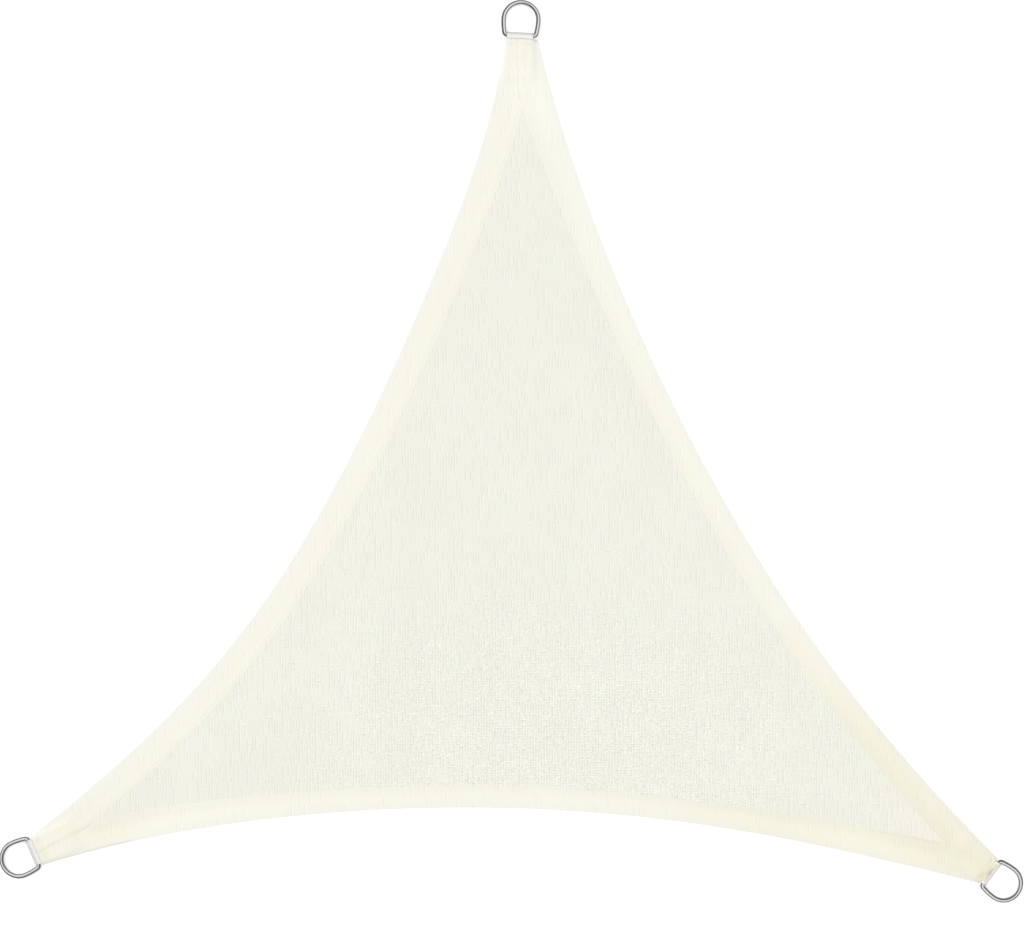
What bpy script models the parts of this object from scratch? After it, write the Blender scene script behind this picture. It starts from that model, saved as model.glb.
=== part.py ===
"""A triangular shade sail, laid out flat with its hemmed face up.

The sail is one piece of knitted cloth with three hollow-cut edges. Each edge is folded over onto
the face and sewn down as a broad hem. In each corner the folds close over the two tails of a
webbing loop, and the loop holds the straight bar of a steel D-ring.

Metres, +Z up. +X runs across the ribs of the knit and +Y along them. The underside lies at z = 0
and the origin is under the middle of the sail's box.
"""

import math
from collections import namedtuple
from functools import cache

import bmesh
import bpy
from mathutils import Matrix, Vector

# Cloth
CLOTH = 0.0012  # one layer of the knitted cloth
HEM_LAYERS = 2
FOLD = 0.0012  # how far in from the edge a fold has its full thickness
STITCHED_EDGE = 0.0008  # width of the slope where a hem's raw edge is sewn to the cloth below
SIDE_STEPS = 30  # sections along each hem, and rows of the panel between the hems
SWELL_RIM = 0.125  # the swells die out over this share of the panel, next to its hems

# Webbing loops
WEBBING = 0.0015
WEBBING_WIDTH = 0.0465
TAIL_LENGTH = 0.060  # the stretch of webbing inside the corner
TAIL_GAP = 0.0003
PLAY = 0.00035  # room between the webbing and what it touches
POCKET_TOP = 0.0014  # cloth over the webbing, hem and lap pressed together
POCKET_SIDE = 0.001  # cloth beside and behind the webbing
POCKET_SLOPE = 0.012  # the stretch over which a corner thins to a plain hem
MOUTH = 0.0008  # how far outside the cloth the two tails part
LIFT = 0.00005  # how far a loop stands off the ground that the cloth lies on
LOOP_STEPS = 12

# D-rings: an arch on two arms that lean in a little, closed by a straight bar
WIRE = 0.008
ARCH_RADIUS = 0.0313  # all ring sizes run along the middle of the wire
BAR_DEPTH = 0.029  # from the arch's centre to the bar
BAR_HALF = 0.029
BEND_RADIUS = 0.006
ARM_BOW = 0.0006  # how far the middle of an arm stands out from a straight line
QUARTER_STEPS = 9
BEND_STEPS = 4

# Each corner: the centre of its ring's arch and the way the ring points, in degrees, then the
# middle of the cloth's cut end, the way that end faces, and its width.
Corner = namedtuple("Corner", "name eye_x eye_y ring_heading end_x end_y end_heading end_width")
CORNERS = [
    Corner("top", 0.0175, 0.7766, 87.0, 0.0184, 0.7409, 89.2, 0.0605),
    Corner("left", -0.8856, -0.7332, 203.9, -0.8527, -0.7187, 201.9, 0.0560),
    Corner("right", 0.8856, -0.7766, 322.9, 0.8578, -0.7540, 323.7, 0.0570),
]

# Each edge, anticlockwise: how deep it is cut in at its middle, how far that hollow leans to
# the edge's far end, how much fuller and how much more one-sided it is near the corners, and
# how wide its hem is at its middle and would be at its two ends.
Edge = namedtuple("Edge", "start finish sag lean fullness twist hem hem_start hem_finish")
EDGES = [
    Edge("top", "left", 0.1465, 0.0389, 0.0210, -0.0542, 0.0495, 0.0550, 0.0510),
    Edge("left", "right", 0.1181, -0.0078, 0.0, -0.0153, 0.0400, 0.0660, 0.0620),
    Edge("right", "top", 0.1140, -0.0085, 0.0060, 0.0110, 0.0425, 0.0510, 0.0680),
]

# Low swells where the cloth doesn't lie quite flat: the middle, the way the swell runs in
# degrees, its half length, half width and height.
Swell = namedtuple("Swell", "x y heading half_length half_width height")
SWELLS = [
    Swell(-0.235, -0.300, 92.0, 0.300, 0.110, 0.0030),
    Swell(0.170, 0.050, 118.0, 0.260, 0.120, 0.0024),
    Swell(0.560, -0.560, 135.0, 0.240, 0.100, 0.0034),
    Swell(-0.480, -0.520, 28.0, 0.200, 0.095, 0.0026),
]

POCKET_HEIGHT = 2 * WEBBING + TAIL_GAP + 2 * PLAY
CORNER_HEIGHT = CLOTH + POCKET_HEIGHT + POCKET_TOP
POCKET_HALF = WEBBING_WIDTH / 2 + PLAY
POCKET_DEPTH = TAIL_LENGTH + PLAY
LOOP_RADIUS = WIRE / 2 + PLAY + WEBBING / 2
BAR_HEIGHT = LOOP_RADIUS + WEBBING / 2 + LIFT

BY_NAME = {corner.name: corner for corner in CORNERS}

# The stretches of an edge, in t, in which the hems of two neighbouring edges can meet
EARLY = (-0.1, 0.5)
LATE = (0.6, 0.99)
HALVINGS = 40


# --- The outline -------------------------------------------------------------------------------


def direction(degrees):
    return Vector((math.cos(math.radians(degrees)), math.sin(math.radians(degrees))))


def left_of(vector):
    return Vector((-vector.y, vector.x))


def end_point(corner, side):
    """One end of a corner's cut: side -1 where an edge arrives there, 1 where the next one leaves."""
    along = left_of(direction(corner.end_heading))
    return Vector((corner.end_x, corner.end_y)) + along * side * corner.end_width / 2


def edge_point(edge, t):
    """The sail's outline along one edge, from t = 0 at its start to t = 1 at its finish."""
    start = end_point(BY_NAME[edge.start], 1)
    chord = end_point(BY_NAME[edge.finish], -1) - start
    lean = 2 * t - 1
    depth = edge.sag + edge.lean * lean + edge.fullness * lean**2 + edge.twist * lean**3
    return start + chord * t + left_of(chord).normalized() * depth * 4 * t * (1 - t)


def edge_along(edge, t):
    small = 1e-4
    return (edge_point(edge, t + small) - edge_point(edge, t - small)).normalized()


def hem_width(edge, t):
    """A hem broadens towards its corners, where the edge turns away most."""
    lean = 2 * t - 1
    end = edge.hem_finish if lean > 0 else edge.hem_start
    return edge.hem + (end - edge.hem) * abs(lean) ** 3


def inset_point(edge, t, inset):
    """A point that far in from the outline."""
    return edge_point(edge, t) + left_of(edge_along(edge, t)) * inset


def stitched_point(edge, t):
    """A point of the line where the hem's inner edge is sewn down."""
    return inset_point(edge, t, hem_width(edge, t))


def crossing(value, low, high):
    """Where value(t) changes sign between low and high."""
    low_sign = value(low) > 0
    for _ in range(HALVINGS):
        middle = (low + high) / 2
        if (value(middle) > 0) == low_sign:
            low = middle
        else:
            high = middle
    return (low + high) / 2


def nearest(edge, point, low, high):
    """The t of the outline point straight out from a point."""
    return crossing(lambda t: (point - edge_point(edge, t)).dot(edge_along(edge, t)), low, high)


def hem_meeting(before, after):
    """The t on each of two neighbouring edges where the inner lines of their hems cross."""

    def spare(t):
        point = stitched_point(before, t)
        t_after = nearest(after, point, *EARLY)
        return (point - edge_point(after, t_after)).length - hem_width(after, t_after)

    t_before = crossing(spare, *LATE)
    return t_before, nearest(after, stitched_point(before, t_before), *EARLY)


@cache
def hem_reach(edge):
    """The first and last t along which the panel shows beside an edge's hem."""
    number = EDGES.index(edge)
    before = EDGES[number - 1]
    after = EDGES[(number + 1) % len(EDGES)]
    return hem_meeting(before, edge)[1], hem_meeting(edge, after)[0]


# --- Corners: the line of the webbing, from the ring's bar into the cloth ----------------------


def bar_middle(corner):
    return Vector((corner.eye_x, corner.eye_y)) - direction(corner.ring_heading) * BAR_DEPTH


def bar_to_end(corner):
    """How far the cloth's cut end lies from the ring's bar, along the webbing."""
    outward = direction(corner.end_heading)
    clear = (bar_middle(corner) - Vector((corner.end_x, corner.end_y))).dot(outward)
    return clear / direction(corner.ring_heading).dot(outward)


def webbing_point(corner, depth):
    """A point on the middle line of the webbing, that deep inside the cloth."""
    back = bar_to_end(corner) + depth
    return bar_middle(corner) - direction(corner.ring_heading) * back


def webbing_depth(corner, point):
    return -(point - webbing_point(corner, 0)).dot(direction(corner.ring_heading))


# --- Cloth -------------------------------------------------------------------------------------


def swell_height(point):
    """How far the cloth stands off the ground at a point of the panel."""
    height = 0
    for swell in SWELLS:
        away = point - Vector((swell.x, swell.y))
        along = away.dot(direction(swell.heading)) / swell.half_length
        across = away.dot(left_of(direction(swell.heading))) / swell.half_width
        reach = min(1, math.hypot(along, across))
        height += swell.height * math.cos(reach * math.pi / 2) ** 2
    return height


def corner_section(edge, side, depth):
    """One section from the webbing's middle line out to the fold: points and thicknesses."""
    corner = BY_NAME[edge.start if side > 0 else edge.finish]
    first, last = hem_reach(edge)
    tip = stitched_point(edge, first if side > 0 else last)
    share = depth / webbing_depth(corner, tip)
    t = first * share if side > 0 else 1 - (1 - last) * share
    facing = corner.ring_heading if depth else corner.end_heading
    shoulder = left_of(direction(facing)) * side * (POCKET_HALF + POCKET_SIDE)
    middle = webbing_point(corner, depth)
    hem = HEM_LAYERS * CLOTH
    full = CORNER_HEIGHT if depth <= POCKET_DEPTH + POCKET_SIDE else hem
    return [
        (middle, full),
        (middle + shoulder / 2, full),
        (middle + shoulder, full),
        (inset_point(edge, t, FOLD), hem),
        (edge_point(edge, t), CLOTH),
    ]


def hem_section(edge, t):
    """One section from a hem's stitched inner edge out to its fold: points and thicknesses."""
    hem = HEM_LAYERS * CLOTH
    width = hem_width(edge, t)
    return [
        (stitched_point(edge, t), CLOTH),
        (inset_point(edge, t, width - STITCHED_EDGE), hem),
        (inset_point(edge, t, width / 2), hem),
        (inset_point(edge, t, FOLD), hem),
        (edge_point(edge, t), CLOTH),
    ]


def hem_sections(edge):
    """All sections along one edge, from the middle of one cut end to the middle of the other."""
    behind = POCKET_DEPTH + POCKET_SIDE
    depths = [0, behind / 2, behind, behind + POCKET_SLOPE]
    first, last = hem_reach(edge)
    sections = [corner_section(edge, 1, depth) for depth in depths]
    for step in range(SIDE_STEPS + 1):
        sections.append(hem_section(edge, first + (last - first) * step / SIDE_STEPS))
    sections += [corner_section(edge, -1, depth) for depth in reversed(depths)]
    return sections


def panel_point(top, left, right):
    """A point of the panel from its shares of the three tips, which add up to 1."""
    shares = {"top": top, "left": left, "right": right}
    tips = {edge.start: stitched_point(edge, hem_reach(edge)[0]) for edge in EDGES}
    point = sum((tips[name] * share for name, share in shares.items()), Vector((0, 0)))
    for edge in EDGES:
        both = shares[edge.start] + shares[edge.finish]
        if both < 1e-6:
            continue
        share = shares[edge.finish] / both
        first, last = hem_reach(edge)
        bowed = stitched_point(edge, first + (last - first) * share)
        straight = tips[edge.start].lerp(tips[edge.finish], share)
        point += (bowed - straight) * both
    return point


def place(vertex, layer, point, thickness, height=0.0):
    vertex.co = (point.x, point.y, height)
    vertex[layer][0] = thickness / CORNER_HEIGHT


def add_hem(bm, layer, edge):
    sections = hem_sections(edge)
    columns = len(sections) - 1
    rows = len(sections[0]) - 1
    grid = bmesh.ops.create_grid(bm, x_segments=columns, y_segments=rows, size=1)
    for vertex in grid["verts"]:
        column = round((vertex.co.x + 1) / 2 * columns)
        row = round((vertex.co.y + 1) / 2 * rows)
        place(vertex, layer, *sections[column][row])


def add_panel(bm, layer):
    """A triangle cut into even rows, then laid between the hems."""
    triangle = bmesh.ops.create_circle(bm, cap_ends=True, segments=3, radius=1)
    sides = list({edge for vertex in triangle["verts"] for edge in vertex.link_edges})
    apexes = [vertex.co.xy.copy() for vertex in triangle["verts"]]
    bmesh.ops.subdivide_edges(bm, edges=sides, cuts=SIDE_STEPS - 1, use_grid_fill=True)
    for vertex in bm.verts:
        rows = [SIDE_STEPS * (1 + 2 * vertex.co.xy.dot(apex)) / 3 for apex in apexes]
        shares = [round(row) / SIDE_STEPS for row in rows]
        point = panel_point(*shares)
        inside = min(1, min(shares) / SWELL_RIM)
        place(vertex, layer, point, CLOTH, swell_height(point) * inside)


def collection(name):
    made = bpy.data.collections.new(name)
    bpy.context.scene.collection.children.link(made)
    return made


def add_object(name, data, where, material=None):
    made = bpy.data.objects.new(name, data)
    where.objects.link(made)
    if material:
        data.materials.append(material)
    return made


def cloth(where, cutters, material):
    bm = bmesh.new()
    layer = bm.verts.layers.deform.verify()
    add_panel(bm, layer)
    for edge in EDGES:
        add_hem(bm, layer, edge)
    bmesh.ops.remove_doubles(bm, verts=bm.verts, dist=1e-5)
    for face in bm.faces:
        face.normal_update()
        if face.normal.z < 0:
            face.normal_flip()
    mesh = bpy.data.meshes.new("sail_cloth")
    bm.to_mesh(mesh)
    bm.free()
    sail = add_object("sail_cloth", mesh, where, material)
    sail.vertex_groups.new(name="thickness")
    layers = sail.modifiers.new("layers", "SOLIDIFY")
    layers.thickness = CORNER_HEIGHT
    layers.offset = 1
    layers.vertex_group = "thickness"
    for corner in CORNERS:
        pocket = sail.modifiers.new(f"pocket_{corner.name}", "BOOLEAN")
        pocket.operation = "DIFFERENCE"
        pocket.object = pocket_cutter(corner, cutters)
    return sail


def pocket_cutter(corner, cutters):
    """The room that the two tails of a webbing loop take up between the layers."""
    past_end = 0.006
    length = POCKET_DEPTH + past_end
    bm = bmesh.new()
    bmesh.ops.create_cube(bm, size=1)
    bmesh.ops.scale(bm, vec=(length, 2 * POCKET_HALF, POCKET_HEIGHT), verts=bm.verts)
    mesh = bpy.data.meshes.new(f"pocket_{corner.name}")
    bm.to_mesh(mesh)
    bm.free()
    cutter = add_object(f"pocket_{corner.name}", mesh, cutters)
    middle = webbing_point(corner, POCKET_DEPTH - length / 2)
    cutter.location = (middle.x, middle.y, CLOTH + POCKET_HEIGHT / 2)
    cutter.rotation_euler.z = math.radians(corner.ring_heading)
    cutter.hide_render = True
    cutter.display_type = "WIRE"
    return cutter


# --- Webbing loops -----------------------------------------------------------------------------


def wrap_angle(back, height, side):
    """Where the webbing, coming from a point behind the bar, meets its wrap round the bar."""
    reach = math.hypot(back, height - BAR_HEIGHT)
    facing = math.atan2(height - BAR_HEIGHT, -back)
    return facing - side * math.acos(LOOP_RADIUS / reach)


def webbing_path(corner):
    """The middle of the webbing, seen from the side, with the bar at x = 0."""
    skew = math.radians(abs(corner.end_heading - corner.ring_heading))
    mouth = bar_to_end(corner) - math.tan(skew) * WEBBING_WIDTH / 2 - MOUTH
    tail = bar_to_end(corner) + TAIL_LENGTH
    low = CLOTH + PLAY + WEBBING / 2
    high = low + WEBBING + TAIL_GAP
    first = wrap_angle(mouth, low, -1)
    last = wrap_angle(mouth, high, 1)
    first -= 2 * math.pi * math.ceil((first - last) / (2 * math.pi))
    path = [(-tail, low), (-mouth, low)]
    for step in range(LOOP_STEPS + 1):
        angle = first + (last - first) * step / LOOP_STEPS
        path.append((LOOP_RADIUS * math.cos(angle), BAR_HEIGHT + LOOP_RADIUS * math.sin(angle)))
    return path + [(-mouth, high), (-tail, high)]


def webbing_loop(corner, where, material):
    bm = bmesh.new()
    path = [bm.verts.new((x, -WEBBING_WIDTH / 2, z)) for x, z in webbing_path(corner)]
    line = [bm.edges.new(pair) for pair in zip(path, path[1:])]
    across = bmesh.ops.extrude_edge_only(bm, edges=line)
    for item in across["geom"]:
        if isinstance(item, bmesh.types.BMVert):
            item.co.y += WEBBING_WIDTH
    mesh = bpy.data.meshes.new(f"webbing_{corner.name}")
    bm.to_mesh(mesh)
    bm.free()
    loop = add_object(f"webbing_{corner.name}", mesh, where, material)
    middle = bar_middle(corner)
    loop.location = (middle.x, middle.y, 0)
    loop.rotation_euler.z = math.radians(corner.ring_heading)
    thickness = loop.modifiers.new("webbing", "SOLIDIFY")
    thickness.thickness = WEBBING
    thickness.offset = 0
    thickness.use_even_offset = True
    return loop


# --- D-rings -----------------------------------------------------------------------------------


def ring_path():
    """Half of the ring's middle line, from the top of its arch to the middle of its bar."""
    arch = [math.pi / 2 * step / QUARTER_STEPS for step in range(QUARTER_STEPS + 1)]
    path = [(ARCH_RADIUS * math.cos(angle), ARCH_RADIUS * math.sin(angle)) for angle in arch]
    bend_x = BEND_RADIUS - BAR_DEPTH
    bend_y = BAR_HALF - BEND_RADIUS
    path.append((bend_x / 2, (ARCH_RADIUS + BAR_HALF) / 2 + ARM_BOW))
    for step in range(BEND_STEPS + 1):
        angle = math.pi / 2 * (1 + step / BEND_STEPS)
        path.append((bend_x + BEND_RADIUS * math.cos(angle), bend_y + BEND_RADIUS * math.sin(angle)))
    return path


def ring(corner, where, material):
    half = ring_path()
    other = [(x, -y) for x, y in reversed(half[1:])]
    curve = bpy.data.curves.new(f"ring_{corner.name}", "CURVE")
    curve.dimensions = "3D"
    wire = curve.splines.new("POLY")
    points = half + other
    wire.points.add(len(points) - 1)
    for point, (x, y) in zip(wire.points, points):
        point.co = (x, y, 0, 1)
    wire.use_cyclic_u = True
    curve.bevel_depth = WIRE / 2
    curve.bevel_resolution = 4
    made = add_object(f"ring_{corner.name}", curve, where, material)
    drop = math.asin((BAR_HEIGHT - WIRE / 2) / (BAR_DEPTH + ARCH_RADIUS))
    height = WIRE / 2 + ARCH_RADIUS * math.sin(drop)
    turn = Matrix.Rotation(math.radians(corner.ring_heading), 4, "Z")
    lean = Matrix.Rotation(drop, 4, "Y")
    made.matrix_world = Matrix.Translation((corner.eye_x, corner.eye_y, height)) @ turn @ lean
    return made


# --- Materials and assembly --------------------------------------------------------------------


def material(name, colour, roughness, metallic=0.0):
    made = bpy.data.materials.new(name)
    made.use_nodes = True
    shader = made.node_tree.nodes["Principled BSDF"]
    shader.inputs["Base Color"].default_value = (*colour, 1)
    shader.inputs["Roughness"].default_value = roughness
    shader.inputs["Metallic"].default_value = metallic
    return made


def clear_scene():
    for old in list(bpy.data.objects):
        bpy.data.objects.remove(old)


def main():
    clear_scene()
    sail = collection("shade_sail")
    cutters = collection("cutters")
    ivory_knit = material("ivory_knit", (0.87, 0.86, 0.77), 0.85)
    white_webbing = material("white_webbing", (0.80, 0.79, 0.82), 0.75)
    steel = material("steel", (0.58, 0.59, 0.61), 0.28, 1.0)
    cloth(sail, cutters, ivory_knit)
    for corner in CORNERS:
        webbing_loop(corner, sail, white_webbing)
        ring(corner, sail, steel)


main()
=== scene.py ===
# %% [markdown]
# # A triangular shade sail
#
# This is a small garden sail of ivory knitted cloth, laid out flat with its hemmed face up. Its
# three edges are cut hollow, so that they pull straight when the sail is hung, and each corner
# holds a steel D-ring in a loop of webbing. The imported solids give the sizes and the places.
# Every surface that shows is made again here, as fine as the real thing.

# %% Open the frame
import math
from collections import namedtuple

import bpy
import numpy as np
from mathutils import Matrix, Vector, noise
from mathutils.bvhtree import BVHTree


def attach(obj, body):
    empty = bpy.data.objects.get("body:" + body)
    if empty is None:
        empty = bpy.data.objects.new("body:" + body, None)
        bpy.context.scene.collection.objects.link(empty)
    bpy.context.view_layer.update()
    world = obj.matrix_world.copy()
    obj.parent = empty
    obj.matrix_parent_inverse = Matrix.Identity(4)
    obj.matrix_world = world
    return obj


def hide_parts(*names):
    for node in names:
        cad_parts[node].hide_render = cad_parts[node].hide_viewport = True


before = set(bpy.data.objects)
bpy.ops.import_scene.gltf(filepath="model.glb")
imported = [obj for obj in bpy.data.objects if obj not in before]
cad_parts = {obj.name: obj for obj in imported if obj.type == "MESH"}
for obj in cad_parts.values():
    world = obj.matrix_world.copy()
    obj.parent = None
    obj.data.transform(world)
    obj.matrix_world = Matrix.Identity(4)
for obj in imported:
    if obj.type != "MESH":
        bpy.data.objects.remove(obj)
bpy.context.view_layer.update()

scene = bpy.context.scene
print("solids:", ", ".join(sorted(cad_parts)))

# %% [markdown]
# ## The camera
#
# The photograph looks straight down on the sail. A camera that is too near would show the middle
# larger than the corners, so this one hangs 6 m up with a long lens. The lens follows from the
# width of floor that the picture has to take in. An orthographic camera could do the same, but a
# long lens keeps the little perspective that a real picture has.

# %% Camera straight above the sail
PIXEL = 0.0018  # metres of sail to one pixel of the photograph
PICTURE_WIDTH = 1024
ORIGIN_PIXEL = Vector((511.2, 451.25))  # where the frame's origin lies in the photograph
MIDDLE_PIXEL = Vector((512, 475))
CAMERA_HEIGHT = 6.0


def at_pixel(pixel):
    """The place on the floor that a pixel of the photograph shows."""
    away = (pixel - ORIGIN_PIXEL) * PIXEL
    return Vector((away.x, -away.y))


def put_in_scene(name, data):
    made = bpy.data.objects.new(name, data)
    scene.collection.objects.link(made)
    return made


camera = put_in_scene("camera", bpy.data.cameras.new("camera"))
scene.camera = camera
camera.location = (*at_pixel(MIDDLE_PIXEL), CAMERA_HEIGHT)
camera.data.lens = camera.data.sensor_width * CAMERA_HEIGHT / (PICTURE_WIDTH * PIXEL)
print("lens in mm:", round(camera.data.lens))

# %% [markdown]
# ## Floor and light
#
# The sail is nearly as pale as the white table that it lies on, so the light has to be even, and
# the table a little brighter than the cloth. A photographer lights such a table from below, until
# it burns out to white and swallows the shadows. Here the floor glows a little for the same reason.
# Most light comes from a pale sky. A soft sun from the upper left adds the shade that shows ribs,
# hems and folds. A strong lamp would show them better, but it would draw hard shadows that this
# soft cloth never has in a picture.

# %% Pale floor, soft sky and sun
FLOOR_DROP = 0.0002
FLOOR_HALF = 20.0
FLOOR_WHITE = 0.93
FLOOR_GLOW = 0.30
SKY = 1.0
SUN = 0.8
SUN_SOFTNESS = math.radians(18)
SUN_TILT = math.radians(48)
SUN_FROM = math.radians(140)  # the side that the sun stands on, anticlockwise from +X


def new_mesh_object(name, points, faces):
    mesh = bpy.data.meshes.new(name)
    mesh.from_pydata(points, [], faces)
    return put_in_scene(name, mesh)


def new_material(name, roughness, metallic=0.0):
    made = bpy.data.materials.new(name)
    made.use_nodes = True
    shader = made.node_tree.nodes["Principled BSDF"]
    shader.inputs["Roughness"].default_value = roughness
    shader.inputs["Metallic"].default_value = metallic
    return made, made.node_tree, shader


def cover(pieces, material):
    for piece in pieces:
        piece.data.materials.append(material)


def plain_material(name, roughness, grey):
    """One even grey, for what stands round the sail."""
    made, _, shader = new_material(name, roughness)
    shader.inputs["Base Color"].default_value = (grey, grey, grey, 1)
    return made, shader


floor_corners = [(-1, -1), (1, -1), (1, 1), (-1, 1)]
floor_points = [(x * FLOOR_HALF, y * FLOOR_HALF, -FLOOR_DROP) for x, y in floor_corners]
floor = new_mesh_object("floor", floor_points, [(0, 1, 2, 3)])
white_floor, shader = plain_material("white_floor", 0.9, FLOOR_WHITE)
shader.inputs["Emission Color"].default_value = (1, 1, 1, 1)
shader.inputs["Emission Strength"].default_value = FLOOR_GLOW
cover([floor], white_floor)

world = bpy.data.worlds.new("pale_sky")
world.use_nodes = True
background = world.node_tree.nodes["Background"].inputs
background["Color"].default_value = (1, 1, 1, 1)
background["Strength"].default_value = SKY
scene.world = world

sun = put_in_scene("sun", bpy.data.lights.new("sun", "SUN"))
sun.data.energy = SUN
sun.data.angle = SUN_SOFTNESS
sun.rotation_euler = (0, SUN_TILT, SUN_FROM)
sun.visible_glossy = False
scene.view_settings.view_transform = "Standard"
print("sky, sun and floor are set")

# %% [markdown]
# ## The outline
#
# A sailmaker marks three corners, joins them, and cuts each side in to a shallow hollow. The
# tables below say the same thing in numbers: where each corner's ring and cut end lie and which
# way they face, and how deep and how lopsided each hollow is. These are the numbers that the
# solids were cut from, so the fine cloth fits them without any fitting.
#
# Points could be traced one by one instead, but a formula stays smooth at any fineness.

# %% Corners and edges
Corner = namedtuple("Corner", "name eye_x eye_y ring_heading end_x end_y end_heading end_width")
CORNERS = [
    Corner("top", 0.0175, 0.7766, 87.0, 0.0184, 0.7409, 89.2, 0.0605),
    Corner("left", -0.8856, -0.7332, 203.9, -0.8527, -0.7187, 201.9, 0.0560),
    Corner("right", 0.8856, -0.7766, 322.9, 0.8578, -0.7540, 323.7, 0.0570),
]
BY_NAME = {corner.name: corner for corner in CORNERS}

# Each edge runs anticlockwise from its start corner to its finish corner.
Edge = namedtuple("Edge", "name start finish sag lean fullness twist hem hem_start hem_finish")
EDGES = [
    Edge("left", "top", "left", 0.1465, 0.0389, 0.0210, -0.0542, 0.0495, 0.0550, 0.0510),
    Edge("bottom", "left", "right", 0.1181, -0.0078, 0.0, -0.0153, 0.0400, 0.0660, 0.0620),
    Edge("right", "right", "top", 0.1140, -0.0085, 0.0060, 0.0110, 0.0425, 0.0510, 0.0680),
]


def direction(degrees):
    return np.array((math.cos(math.radians(degrees)), math.sin(math.radians(degrees))))


def left_of(vectors):
    """The vectors turned a quarter to the left."""
    return np.stack((-vectors[..., 1], vectors[..., 0]), axis=-1)


def unit(vectors):
    return vectors / np.linalg.norm(vectors, axis=-1, keepdims=True)


def cut_middle(corner):
    return np.array((corner.end_x, corner.end_y))


def cut_end(corner, side):
    """One end of a corner's cut: side -1 where an edge arrives, 1 where the next one leaves."""
    along = left_of(direction(corner.end_heading))
    return cut_middle(corner) + along * side * corner.end_width / 2


# %% Points along an edge
SMALL_STEP = 1e-4  # in t, to find which way an edge runs
HEM_FLARE = 3  # the higher, the nearer to its ends a hem starts to broaden
MEETING_GUESS = (0.8, 0.2)
MEETING_REACH = 0.2
MEETING_ROUNDS = 5
MEETING_ZOOM = 10
MEETING_SAMPLES = 41


def edge_points(edge, t):
    """The outline at each t, from 0 at the edge's start to 1 at its finish."""
    start = cut_end(BY_NAME[edge.start], 1)
    chord = cut_end(BY_NAME[edge.finish], -1) - start
    lean = 2 * t - 1
    depth = edge.sag + edge.lean * lean + edge.fullness * lean**2 + edge.twist * lean**3
    across = unit(left_of(chord))
    return start + np.outer(t, chord) + np.outer(depth * 4 * t * (1 - t), across)


def inward(edge, t):
    """The direction straight in from the outline."""
    return unit(left_of(edge_points(edge, t + SMALL_STEP) - edge_points(edge, t - SMALL_STEP)))


def hem_width(edge, t):
    """A hem broadens towards its corners, where the edge turns away most."""
    lean = 2 * t - 1
    end = np.where(lean > 0, edge.hem_finish, edge.hem_start)
    return edge.hem + (end - edge.hem) * abs(lean) ** HEM_FLARE


def hem_line(edge, t):
    """The line where the hem's inner edge is sewn down."""
    return edge_points(edge, t) + inward(edge, t) * hem_width(edge, t)[:, None]


def hem_meeting(before, after):
    """The t on two neighbouring edges where the inner lines of their hems cross.

    Each round tries points round the last best ones, closer together than before.
    """
    middles, reach = MEETING_GUESS, MEETING_REACH
    for _ in range(MEETING_ROUNDS):
        a, b = (np.linspace(middle - reach, middle + reach, MEETING_SAMPLES) for middle in middles)
        gaps = np.linalg.norm(hem_line(before, a)[:, None] - hem_line(after, b)[None], axis=2)
        nearest_a, nearest_b = np.unravel_index(gaps.argmin(), gaps.shape)
        middles, reach = [a[nearest_a], b[nearest_b]], reach / MEETING_ZOOM
    return middles


MEETINGS = {after.start: hem_meeting(EDGES[k - 1], after) for k, after in enumerate(EDGES)}
HEM_RANGE = {edge.name: (MEETINGS[edge.start][1], MEETINGS[edge.finish][0]) for edge in EDGES}
for edge in EDGES:
    tip = hem_line(edge, np.array(HEM_RANGE[edge.name][:1]))[0]
    print(f"{edge.name} hem runs from t = {HEM_RANGE[edge.name][0]:.3f} to {HEM_RANGE[edge.name][1]:.3f};",
          f"the panel's tip at its start is at {tip[0]:.3f}, {tip[1]:.3f}")

# %% [markdown]
# ## How the cloth lies
#
# Knitted cloth that has been folded in a bag never lies dead flat. It keeps low swells, and the
# knit itself undulates a little between them. The large swells are the solid's own. The small
# undulation is smooth noise, under half a millimetre, and both die out towards the hems, which
# are stiff enough to lie flat.

# %% Swells and undulation
Swell = namedtuple("Swell", "x y heading half_length half_width height")
SWELLS = [
    Swell(-0.235, -0.300, 92.0, 0.300, 0.110, 0.0030),
    Swell(0.170, 0.050, 118.0, 0.260, 0.120, 0.0024),
    Swell(0.560, -0.560, 135.0, 0.240, 0.100, 0.0034),
    Swell(-0.480, -0.520, 28.0, 0.200, 0.095, 0.0026),
]
SWELL_RIM = 0.040  # the cloth settles to the floor over this distance from a hem
UNDULATION = 0.0005
UNDULATION_SIZE = 0.085
UNDULATION_SHIFT = 0.5  # raises the noise, so that more of the cloth undulates than lies flat
UNDULATION_SEED = 3.7
HEM_SAMPLES = 260
COARSE = 13  # every so many samples of a hem's line tell well enough which side a point is on


def smooth_step(low, high, value):
    share = np.clip((value - low) / (high - low), 0, 1)
    return share * share * (3 - 2 * share)


def spot(points, x, y, heading, half_length, half_width):
    """A soft-edged oval patch: 1 in its middle, 0 from its rim outward."""
    away = points - np.array((x, y))
    along = away @ direction(heading) / half_length
    across = away @ left_of(direction(heading)) / half_width
    return np.cos(np.clip(np.hypot(along, across), 0, 1) * math.pi / 2) ** 2


def from_line(points, line):
    """How far each point lies from the nearest sample of a line."""
    nearest = np.full(len(points), np.inf)
    for sample in line:
        nearest = np.minimum(nearest, ((points - sample) ** 2).sum(axis=1))
    return np.sqrt(nearest)


HEM_LINES = {
    edge.name: hem_line(edge, np.linspace(*HEM_RANGE[edge.name], HEM_SAMPLES)) for edge in EDGES
}


def smooth_noise(points, size, seed):
    """Smooth noise of about -1 to 1, with features of that size."""
    return np.array([noise.noise((x / size, y / size, seed)) for x, y in points])


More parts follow.
